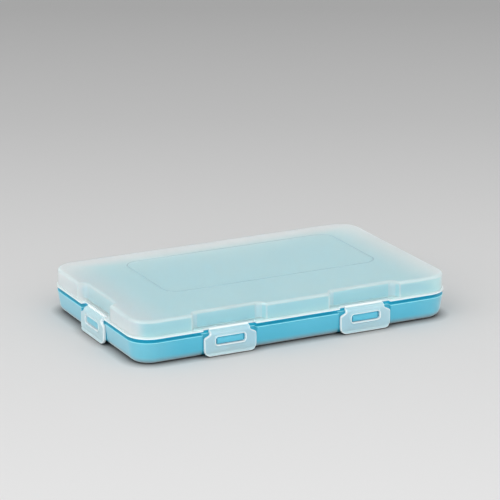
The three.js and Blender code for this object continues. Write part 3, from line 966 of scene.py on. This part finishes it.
def pin_shell(middle):
    shell = Shell()
    y, z = HINGE_AXIS
    tip_radius = PIN_RADIUS - PIN_BEVEL
    bevel_start = PIN_REACH - PIN_BEVEL
    rings = []
    for x, radius in ((-PIN_REACH, tip_radius), (-bevel_start, PIN_RADIUS),
                      (bevel_start, PIN_RADIUS), (PIN_REACH, tip_radius)):
        circle = arc((y, z), radius, 0, 4 * QUARTER_TURN, BARREL_STEPS)[:-1]
        rings.append(shell.space_ring([(middle + x, a, b) for a, b in circle]))
    for lower, upper in zip(rings, rings[1:]):
        shell.bridge(lower, upper)
    shell.faces.append(tuple(rings[0]))
    shell.faces.append(tuple(rings[-1]))
    return shell


# Materials
def new_material(name):
    material = bpy.data.materials.new(name)
    material.use_nodes = True
    return material


def add_grain(material, shader, scale, strength, depth):
    """A fine grain as bump. Returns the node that gives the place on the piece."""
    nodes = material.node_tree.nodes
    links = material.node_tree.links
    place = nodes.new("ShaderNodeTexCoord")
    fine = nodes.new("ShaderNodeTexNoise")
    fine.inputs["Scale"].default_value = scale
    fine.inputs["Detail"].default_value = 2
    bump = nodes.new("ShaderNodeBump")
    bump.inputs["Strength"].default_value = strength
    bump.inputs["Distance"].default_value = depth * MM
    links.new(place.outputs["Object"], fine.inputs["Vector"])
    links.new(fine.outputs["Fac"], bump.inputs["Height"])
    links.new(bump.outputs["Normal"], shader.inputs["Normal"])
    return place


def add_colour_drift(material, shader, place, first, second):
    """Colour that drifts slowly between two shades, as in moulded translucent plastic."""
    nodes = material.node_tree.nodes
    links = material.node_tree.links
    drift = nodes.new("ShaderNodeTexNoise")
    drift.inputs["Scale"].default_value = DRIFT_SCALE
    drift.inputs["Detail"].default_value = 1
    ramp = nodes.new("ShaderNodeValToRGB")
    for element, position, colour in zip(ramp.color_ramp.elements, DRIFT_STOPS, (first, second)):
        element.position = position
        element.color = (*colour, 1)
    links.new(place.outputs["Object"], drift.inputs["Vector"])
    links.new(drift.outputs["Fac"], ramp.inputs["Fac"])
    links.new(ramp.outputs["Color"], shader.inputs["Base Color"])


def add_ramp(material, value, start, stop):
    """A share that is 0 at start and 1 at stop, both in millimetres, and smooth between them."""
    ramp = material.node_tree.nodes.new("ShaderNodeMapRange")
    ramp.interpolation_type = "SMOOTHSTEP"
    ramp.inputs["From Min"].default_value = start * MM
    ramp.inputs["From Max"].default_value = stop * MM
    material.node_tree.links.new(value, ramp.inputs["Value"])
    return ramp.outputs["Result"]


def add_math(material, operation, *values):
    node = material.node_tree.nodes.new("ShaderNodeMath")
    node.operation = operation
    for count, value in enumerate(values):
        material.node_tree.links.new(value, node.inputs[count])
    return node.outputs["Value"]


def foot_reflection_share(material, x, y, z):
    """Painted reflection of the floor: grows towards the tub's rounded foot."""
    return add_ramp(material, z, *FOOT_PAINTED_REFLECTION)


def tub_end_sheen_share(material, x, y, z):
    """Painted sheen: grows towards both ends of the tub."""
    return add_ramp(material, add_math(material, "ABSOLUTE", x), *TUB_END_PAINTED_SHEEN)


def lid_end_glow_share(material, x, y, z):
    """Painted glow: grows towards both ends and the back of the lid, and from further in on its
    top.
    """
    end = add_math(material, "ABSOLUTE", x)
    ends = add_ramp(material, end, *LID_END_PAINTED_GLOW)
    walls = add_math(material, "MAXIMUM", ends, add_ramp(material, y, *LID_BACK_PAINTED_GLOW))
    near_top = add_ramp(material, z, *(CASE_TOP - depth for depth in LID_TOP_PAINTED_GLOW))
    top_ends = add_ramp(material, end, *LID_TOP_END_PAINTED_GLOW)
    top = add_math(material, "MULTIPLY", top_ends, near_top)
    return add_math(material, "MAXIMUM", walls, top)


def add_painted_light(material, shader, place, share, colour):
    """Painted light that turns the colour into a paler one by a share of the place."""
    nodes = material.node_tree.nodes
    links = material.node_tree.links
    before = shader.inputs["Base Color"].links[0].from_socket
    parts = nodes.new("ShaderNodeSeparateXYZ")
    links.new(place.outputs["Object"], parts.inputs["Vector"])
    mix = nodes.new("ShaderNodeMix")
    mix.data_type = "RGBA"
    mix.inputs["B"].default_value = (*colour, 1)
    links.new(share(material, *parts.outputs), mix.inputs["Factor"])
    links.new(before, mix.inputs["A"])
    links.new(mix.outputs["Result"], shader.inputs["Base Color"])


def let_light_through(material, shader, share, tint):
    """Shadow rays pass in part, so that the inside is lit through the plastic."""
    nodes = material.node_tree.nodes
    links = material.node_tree.links
    output = nodes["Material Output"]
    path = nodes.new("ShaderNodeLightPath")
    part = nodes.new("ShaderNodeMath")
    part.operation = "MULTIPLY"
    part.inputs[1].default_value = share
    clear = nodes.new("ShaderNodeBsdfTransparent")
    clear.inputs["Color"].default_value = (*tint, 1)
    mix = nodes.new("ShaderNodeMixShader")
    links.new(path.outputs["Is Shadow Ray"], part.inputs[0])
    links.new(part.outputs["Value"], mix.inputs["Fac"])
    links.new(shader.outputs["BSDF"], mix.inputs[1])
    links.new(clear.outputs["BSDF"], mix.inputs[2])
    links.new(mix.outputs["Shader"], output.inputs["Surface"])


def plastic(name, first, second, roughness, transmission, sheen=SHEEN, through=None, painted_light=()):
    """Moulded plastic. through is the share of light that passes and its tint. The last argument
    lists where painted light makes it paler, as a share of the place, and its colour there."""
    material = new_material(name)
    shader = material.node_tree.nodes["Principled BSDF"]
    shader.inputs["Roughness"].default_value = roughness
    shader.inputs["Transmission Weight"].default_value = transmission
    shader.inputs["IOR"].default_value = PLASTIC_IOR
    place = add_grain(material, shader, *PLASTIC_GRAIN)
    add_colour_drift(material, shader, place, first, second)
    for share, colour in painted_light:
        add_painted_light(material, shader, place, share, colour)
    shader.inputs["Sheen Weight"].default_value = sheen
    shader.inputs["Sheen Roughness"].default_value = SHEEN_ROUGHNESS
    if through:
        let_light_through(material, shader, *through)
    return material


# Painted sheen towards the tub's ends and painted reflection of the floor towards its foot
tub_plastic = plastic(
    "tub_plastic", (0.101, 0.635, 0.845), (0.127, 0.665, 0.875),
    roughness=0.3, transmission=0.3, sheen=0.8,
    painted_light=((tub_end_sheen_share, (0.21, 0.70, 0.86)), (foot_reflection_share, (0.42, 0.76, 0.86))))
# Painted highlight on the ledge's edge
tub_edge_highlight = plastic(
    "tub_edge_highlight", (0.36, 0.90, 1), (0.39, 0.92, 1), roughness=0.3, transmission=0.2)
# Painted shade on the ledge's top, the lip and the tub's inside
tub_lip_shade = plastic(
    "tub_lip_shade", (0.014, 0.54, 0.76), (0.024, 0.57, 0.80),
    roughness=0.3, transmission=0.3, sheen=0)
# Painted shade in the recesses beside the flaps
tub_recess_shade = plastic(
    "tub_recess_shade", (0.045, 0.52, 0.72), (0.065, 0.55, 0.75),
    roughness=0.3, transmission=0.3, sheen=0)
tray_plastic = plastic(
    "tray_plastic", (0.022, 0.56, 0.75), (0.033, 0.60, 0.79),
    roughness=0.4, transmission=0.2, sheen=0)
# Painted glow, paler towards the lid's ends, its back and the ends of its top
lid_plastic = plastic(
    "lid_plastic", (0.72, 0.98, 1), (0.75, 0.99, 1),
    roughness=0.35, transmission=0.74, sheen=0.2,
    through=(0.85, (0.97, 1, 1)), painted_light=((lid_end_glow_share, (0.98, 1, 1)),))
# Painted highlight on the rim's lower part and on the film hinges
lid_edge_highlight = plastic(
    "lid_edge_highlight", (0.93, 1, 1), (0.95, 1, 1),
    roughness=0.35, transmission=0.2, through=(0.8, (0.95, 0.99, 1)))
# Painted highlight on the round top edge, the rim's upper round and the pockets' fillets
lid_fold_highlight = plastic(
    "lid_fold_highlight", (0.90, 1, 1), (0.93, 1, 1),
    roughness=0.4, transmission=0.7, through=(0.8, (0.95, 0.99, 1)))
# Painted shade in the panel line's groove
lid_line_shade = plastic(
    "lid_line_shade", (0.56, 0.74, 0.78), (0.58, 0.75, 0.79),
    roughness=0.35, transmission=0.74, sheen=0.2, through=(0.85, (0.97, 1, 1)))
flap_plastic = plastic(
    "flap_plastic", (0.68, 0.93, 1), (0.77, 0.97, 1),
    roughness=0.4, transmission=0.6, through=(0.6, (0.9, 0.97, 1)))
# Painted highlight on the flaps' edges and the inner round of the slots' frames
flap_edge_highlight = plastic(
    "flap_edge_highlight", (0.95, 1, 1), (0.97, 1, 1),
    roughness=0.35, transmission=0.25, through=(0.6, (0.88, 0.96, 1)))
seal_silicone = plastic(
    "seal_silicone", (0.82, 0.90, 0.92), (0.86, 0.93, 0.95), roughness=0.55, transmission=0.15)

pin_steel = new_material("pin_steel")
steel_shader = pin_steel.node_tree.nodes["Principled BSDF"]
steel_shader.inputs["Base Color"].default_value = (0.60, 0.61, 0.62, 1)
steel_shader.inputs["Metallic"].default_value = 1
steel_shader.inputs["Roughness"].default_value = 0.28
add_grain(pin_steel, steel_shader, *STEEL_GRAIN)


# Pieces
# Each piece's main material, then its materials with painted highlight and painted shade
tub_materials = [tub_plastic, tub_edge_highlight, tub_lip_shade, tub_recess_shade]
lid_materials = [lid_plastic, lid_edge_highlight, lid_fold_highlight, lid_line_shade]
flap_materials = [flap_plastic, flap_edge_highlight]
add_piece("tub", tub_shell(), tub_materials, "tub", ["base_shell"])
add_piece("lid", lid_shell(), lid_materials, "lid", ["lid_shell"])
add_piece("seal", seal_shell(), [seal_silicone], "lid", ["seal_ring"])
for name, side in (("front", -1), ("back", 1)):
    node = f"cell_tray_{name}"
    tray = add_piece(
        f"tray_{name}", tray_shell(side), [tray_plastic], "tub", [node])
    add_bevel(tray, TRAY_BEVEL)
film_radius = (FILM_INNER_RADIUS + FILM_OUTER_RADIUS) / 2
for station in stations:
    body = f"flap_{station.name}"
    flap_node = f"latch_{station.name}"
    add_piece(body, flap_shell(station), flap_materials, body, [flap_node])
    film_node = f"latch_hinge_{station.name}"
    # The film hinges take the lid's painted highlight
    film = add_piece(
        f"film_{station.name}", film_shell(station), [lid_edge_highlight], None, [film_node])
    start = station.place(0, -NOTCH_DEPTH, FLAP_TOP + film_radius)
    end = station.place(0, film_radius - NOTCH_DEPTH, FLAP_TOP)
    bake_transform(film)
for side, middle in zip(("left", "right"), HINGE_MIDDLES):
    pin_node = f"hinge_pin_{side}"
    add_piece(f"pin_{side}", pin_shell(middle), [pin_steel], "tub", [pin_node])
    knuckles = [(f"lid_knuckle_{side}", -LID_KNUCKLE_HALF, LID_KNUCKLE_HALF, True),
                (f"tub_knuckle_{side}_1", -TUB_KNUCKLE_END, -TUB_KNUCKLE_START, False),
                (f"tub_knuckle_{side}_2", TUB_KNUCKLE_START, TUB_KNUCKLE_END, False)]
    for name, start, end, upward in knuckles:
        if upward:
            body, node, slot = "lid", "lid_shell", "lid_plastic"
            material, bore = lid_plastic, LID_BORE_RADIUS
        else:
            body, node, slot = "tub", "base_shell", "tub_plastic"
            material, bore = tub_plastic, TUB_BORE_RADIUS
        shell = knuckle_shell(middle + start, middle + end, bore, upward)
        knuckle = add_piece(name, shell, [material], body, [node])
        add_bevel(knuckle, KNUCKLE_BEVEL)


# Surroundings
def add_camera():
    yaw, pitch, roll = (math.radians(angle) for angle in (CAMERA_YAW, CAMERA_PITCH, CAMERA_ROLL))
    run = math.cos(pitch)
    ahead = Vector((math.sin(yaw) * run, math.cos(yaw) * run, -math.sin(pitch)))
    level = ahead.cross(Vector((0, 0, 1))).normalized()
    above = level.cross(ahead)
    right = math.cos(roll) * level + math.sin(roll) * above
    up = math.cos(roll) * above - math.sin(roll) * level
    camera_data = bpy.data.cameras.new("camera")
    camera_data.sensor_width = SENSOR_WIDTH
    camera_data.lens = FOCAL_PIXELS / PICTURE_SIZE * SENSOR_WIDTH
    camera = bpy.data.objects.new("camera", camera_data)
    bpy.context.scene.collection.objects.link(camera)
    turn = Matrix((right, up, -ahead)).transposed().to_4x4()
    camera.matrix_world = Matrix.Translation([value * MM for value in CAMERA_PLACE]) @ turn
    bpy.context.scene.camera = camera


def floor_material():
    """Grey along the camera's heading as a painted pool of light, with a painted contact shade that
    grows darker close to the object.
    """
    material = new_material("floor")
    nodes = material.node_tree.nodes
    links = material.node_tree.links
    shader = nodes["Principled BSDF"]
    shader.inputs["Roughness"].default_value = FLOOR_ROUGHNESS
    shader.inputs["Specular IOR Level"].default_value = FLOOR_SPECULAR
    place = nodes.new("ShaderNodeTexCoord")
    turn = nodes.new("ShaderNodeMapping")
    turn.inputs["Rotation"].default_value[2] = math.radians(CAMERA_YAW)
    parts = nodes.new("ShaderNodeSeparateXYZ")
    run = nodes.new("ShaderNodeMapRange")
    nearest = FLOOR_STOPS[0][0]
    farthest = FLOOR_STOPS[-1][0]
    run.inputs["From Min"].default_value = nearest
    run.inputs["From Max"].default_value = farthest
    # Painted pool of light along the camera's heading
    ramp = nodes.new("ShaderNodeValToRGB")
    while len(ramp.color_ramp.elements) < len(FLOOR_STOPS):
        ramp.color_ramp.elements.new(0.5)
    for element, (distance, grey) in zip(ramp.color_ramp.elements, FLOOR_STOPS):
        element.position = (distance - nearest) / (farthest - nearest)
        element.color = (grey, grey, grey, 1)
    # Painted contact shade: darker where the object hides the floor close by
    contact = nodes.new("ShaderNodeAmbientOcclusion")
    contact.samples = CONTACT_SAMPLES
    contact.inputs["Distance"].default_value = CONTACT_REACH
    links.new(place.outputs["Object"], turn.inputs["Vector"])
    links.new(turn.outputs["Vector"], parts.inputs["Vector"])
    links.new(parts.outputs["Y"], run.inputs["Value"])
    links.new(run.outputs["Result"], ramp.inputs["Fac"])
    links.new(ramp.outputs["Color"], contact.inputs["Color"])
    links.new(contact.outputs["Color"], shader.inputs["Base Color"])
    return material


def add_floor():
    mesh = bpy.data.meshes.new("floor")
    near, far = -FLOOR_REACH, FLOOR_REACH
    corners = [(near, near, 0), (far, near, 0), (far, far, 0), (near, far, 0)]
    mesh.from_pydata(corners, [], [(0, 1, 2, 3)])
    mesh.materials.append(floor_material())
    floor = bpy.data.objects.new("floor", mesh)
    bpy.context.scene.collection.objects.link(floor)


def add_lamp(name, place, diameter, power):
    lamp_data = bpy.data.lights.new(name, "AREA")
    lamp_data.shape = "DISK"
    lamp_data.size = diameter
    lamp_data.energy = power
    lamp = bpy.data.objects.new(name, lamp_data)
    bpy.context.scene.collection.objects.link(lamp)
    turn = (-Vector(place)).to_track_quat("-Z", "Y").to_matrix().to_4x4()
    lamp.matrix_world = Matrix.Translation(place) @ turn
    lamp.visible_camera = False


def add_world():
    world = bpy.data.worlds.new("world")
    world.use_nodes = True
    background = world.node_tree.nodes["Background"]
    background.inputs["Color"].default_value = (1, 1, 1, 1)
    background.inputs["Strength"].default_value = WORLD_STRENGTH
    bpy.context.scene.world = world


add_camera()
add_floor()
add_world()
for lamp in LAMPS:
    add_lamp(*lamp)
bpy.context.scene.view_settings.view_transform = "Standard"
